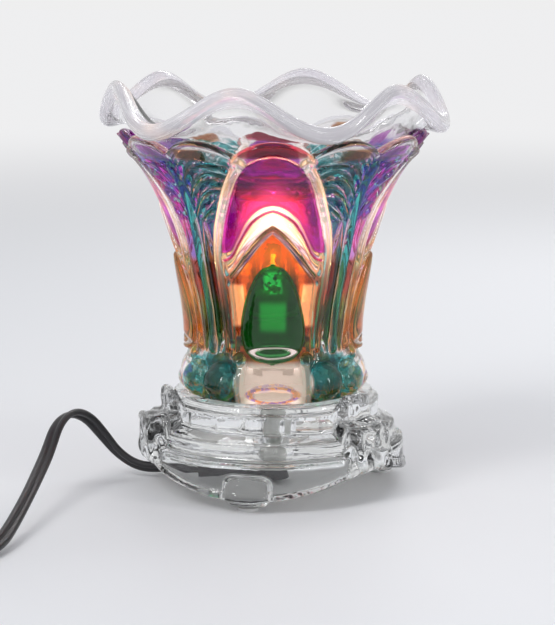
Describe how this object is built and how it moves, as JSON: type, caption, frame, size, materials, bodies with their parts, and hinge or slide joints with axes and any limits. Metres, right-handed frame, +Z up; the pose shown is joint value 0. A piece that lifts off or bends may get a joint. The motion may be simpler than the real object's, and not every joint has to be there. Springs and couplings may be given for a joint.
{
  "type": "wax melt warmer",
  "caption": "Flared pressed glass wax melt warmer with a ruffled clear dish over a lamp shade, a stepped glass base, and a corded dimmer and plug.",
  "frame": {"origin": "centre of the glass base on the surface it stands on", "axes": "+Z up, -Y towards the front with the green egg facing the viewer, +X to the viewer's right, the lead leaves towards -X"},
  "size_m": [0.2857, 0.2037, 0.1557],
  "materials": {
    "clear_glass": "clear, fire-polished",
    "coloured_glass": "pressed glass with transparent colour stains and a thin sheen",
    "bulb_glass": "clear quartz",
    "pad_rubber": "soft, translucent grey",
    "black_rubber": "matt",
    "plated_steel": "zinc plated",
    "reflector": "satin",
    "white_ceramic": "unglazed steatite",
    "contact_brass": "bright",
    "wire_sleeve": "glass fibre sleeve",
    "pin_metal": "drawn wire",
    "filament": "lit tungsten coil",
    "cord_vinyl": "smooth black vinyl, slightly glossy",
    "dimmer_plastic": "black, fine grain",
    "dimmer_wheel_plastic": "black, ribbed edge",
    "plug_vinyl": "moulded black vinyl"
  },
  "bodies": {
    "base": {"glass_base": "clear_glass", "foot_pads": "pad_rubber", "rubber_washer": "black_rubber", "steel_washer": "plated_steel", "bottom_nut": "plated_steel", "top_nut": "plated_steel", "threaded_tube": "plated_steel", "socket_plate": "reflector", "socket_bracket": "plated_steel", "socket_screws": "plated_steel", "socket_body": "white_ceramic", "socket_contacts": "contact_brass", "lead_wires": "wire_sleeve", "cord_relief": "cord_vinyl", "cord_to_dimmer": "cord_vinyl", "cord_from_dimmer": "cord_vinyl", "cord_coil": "cord_vinyl", "cord_to_plug": "cord_vinyl", "dimmer_lower_shell": "dimmer_plastic", "dimmer_upper_shell": "dimmer_plastic", "dimmer_axle": "plated_steel", "dimmer_screws": "plated_steel", "plug_body": "plug_vinyl", "plug_blades": "contact_brass"},
    "shade": {"glass_shade": "coloured_glass"},
    "dish": {"wax_dish": "clear_glass"},
    "bulb": {"bulb_envelope": "bulb_glass", "bulb_filament": "filament", "bulb_supports": "pin_metal", "bulb_pins": "pin_metal"},
    "dimmer_knob": {"dimmer_wheel": "dimmer_wheel_plastic"}
  },
  "joints": [
    {"name": "shade_lift", "type": "slide", "parent": "base", "child": "shade", "axis": [0, 0, 1], "range_m": [0, 0.075]},
    {"name": "dish_lift", "type": "slide", "parent": "shade", "child": "dish", "axis": [0, 0, 1], "range_m": [0, 0.045]},
    {"name": "bulb_pull", "type": "slide", "parent": "base", "child": "bulb", "axis": [0, 0, 1], "range_m": [0, 0.01]},
    {"name": "dimmer_turn", "type": "hinge", "parent": "base", "child": "dimmer_knob", "pos_m": [-0.152, -0.1216, 0.009], "axis": [0, 0, 1], "range_deg": [0, 270]}
  ]
}
